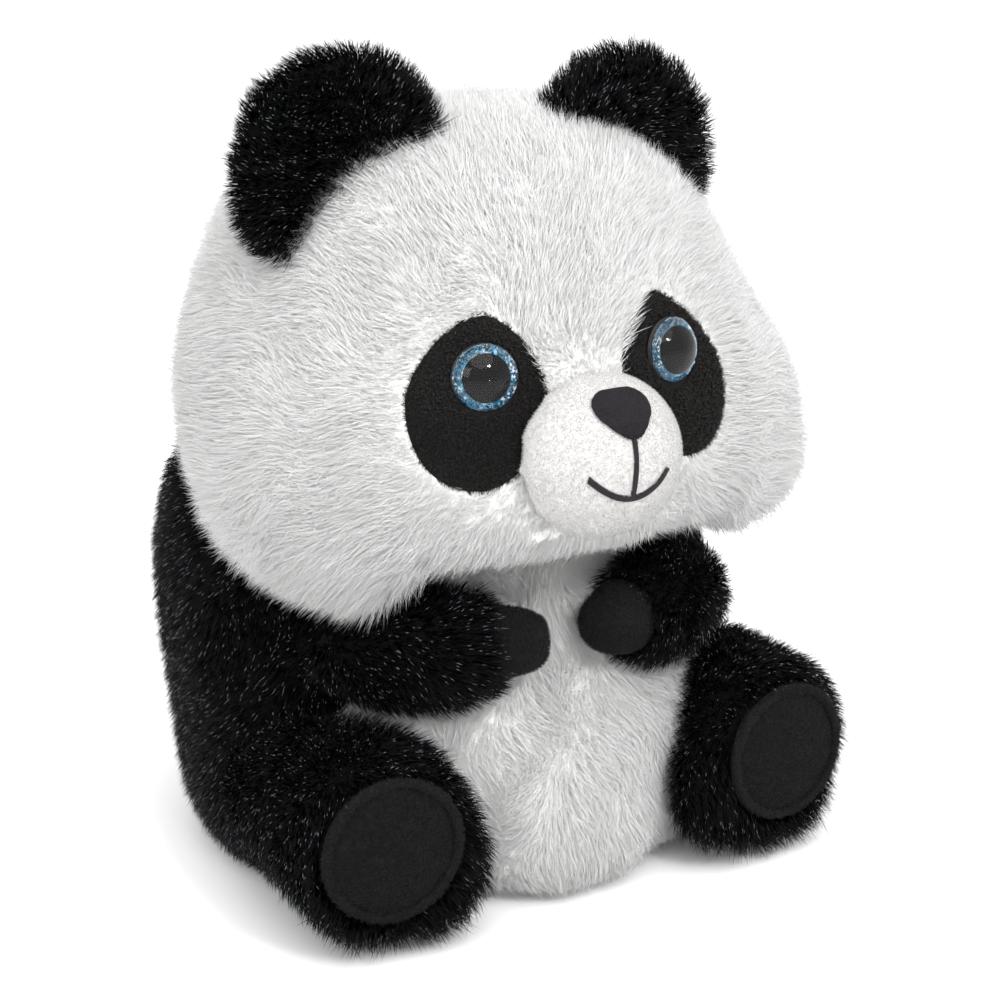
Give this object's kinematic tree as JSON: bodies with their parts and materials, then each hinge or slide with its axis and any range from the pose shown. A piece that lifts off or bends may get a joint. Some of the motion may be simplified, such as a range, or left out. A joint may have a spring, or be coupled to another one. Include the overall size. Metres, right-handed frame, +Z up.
{
  "type": "plush panda",
  "caption": "Sitting plush panda: big white head, black ears, eye patches and limbs, glitter eyes, sewn soft limbs that flex.",
  "frame": {"origin": "middle of the flat seat, on the ground", "axes": "+Z up, the face looks along -Y, +X is the toy's left side"},
  "size_m": [0.1764, 0.1663, 0.217],
  "materials": {
    "black_plush": "matte",
    "white_plush": "matte",
    "base_cloth": "matte",
    "muzzle_velour": "matte",
    "nose_cloth": "satin",
    "thread": "satin",
    "patch_velour": "matte",
    "pad_velour": "matte",
    "filling": "matte",
    "bag_cloth": "matte",
    "clear_plastic": "gloss",
    "glitter_film": "gloss",
    "pupil_plastic": "gloss",
    "eye_plastic": "matte"
  },
  "bodies": {
    "torso": {"torso_back_panel": "black_plush", "belly_panel": "white_plush", "base_panel": "base_cloth", "torso_stuffing": "filling", "pellet_bag": "bag_cloth"},
    "head": {"head_left_panel": "white_plush", "head_right_panel": "white_plush", "head_back_panel": "white_plush", "head_stuffing": "filling", "muzzle_cover": "muzzle_velour", "muzzle_stuffing": "filling", "nose_patch": "nose_cloth", "mouth_thread": "thread", "eye_patch_left": "patch_velour", "eye_lens_left": "clear_plastic", "eye_glitter_left": "glitter_film", "eye_pupil_left": "pupil_plastic", "eye_shank_left": "eye_plastic", "eye_washer_left": "eye_plastic", "eye_patch_right": "patch_velour", "eye_lens_right": "clear_plastic", "eye_glitter_right": "glitter_film", "eye_pupil_right": "pupil_plastic", "eye_shank_right": "eye_plastic", "eye_washer_right": "eye_plastic"},
    "ear_left": {"ear_front_left": "black_plush", "ear_back_left": "black_plush"},
    "arm_left": {"arm_sleeve_left": "black_plush", "paw_tip_left": "pad_velour", "arm_stuffing_left": "filling"},
    "leg_left": {"leg_cover_left": "black_plush", "leg_stuffing_left": "filling", "foot_pad_left": "pad_velour"},
    "ear_right": {"ear_front_right": "black_plush", "ear_back_right": "black_plush"},
    "arm_right": {"arm_sleeve_right": "black_plush", "paw_tip_right": "pad_velour", "arm_stuffing_right": "filling"},
    "leg_right": {"leg_cover_right": "black_plush", "leg_stuffing_right": "filling", "foot_pad_right": "pad_velour"}
  },
  "joints": [
    {"name": "head_turn", "type": "hinge", "parent": "torso", "child": "head", "pos_m": [0, 0, 0.1045], "axis": [0, -0.309, 0.9511], "range_deg": [-20, 20], "stiffness_Nm_per_rad": 0.15},
    {"name": "ear_left_flex", "type": "hinge", "parent": "head", "child": "ear_left", "pos_m": [0.0426, -0.027, 0.1918], "axis": [0.7986, 0, -0.6018], "range_deg": [-12, 12], "stiffness_Nm_per_rad": 0.02},
    {"name": "arm_left_swing", "type": "hinge", "parent": "torso", "child": "arm_left", "pos_m": [0.064, -0.03, 0.067], "axis": [0, 0, 1], "range_deg": [0, 45], "stiffness_Nm_per_rad": 0.03},
    {"name": "leg_left_swing", "type": "hinge", "parent": "torso", "child": "leg_left", "pos_m": [0.075, -0.003, 0.028], "axis": [0, 0, 1], "range_deg": [0, 20], "stiffness_Nm_per_rad": 0.06},
    {"name": "ear_right_flex", "type": "hinge", "parent": "head", "child": "ear_right", "pos_m": [-0.0426, -0.027, 0.1918], "axis": [0.7986, 0, 0.6018], "range_deg": [-12, 12], "stiffness_Nm_per_rad": 0.02},
    {"name": "arm_right_swing", "type": "hinge", "parent": "torso", "child": "arm_right", "pos_m": [-0.064, -0.03, 0.067], "axis": [0, 0, -1], "range_deg": [0, 45], "stiffness_Nm_per_rad": 0.03},
    {"name": "leg_right_swing", "type": "hinge", "parent": "torso", "child": "leg_right", "pos_m": [-0.075, -0.003, 0.028], "axis": [0, 0, -1], "range_deg": [0, 20], "stiffness_Nm_per_rad": 0.06}
  ]
}
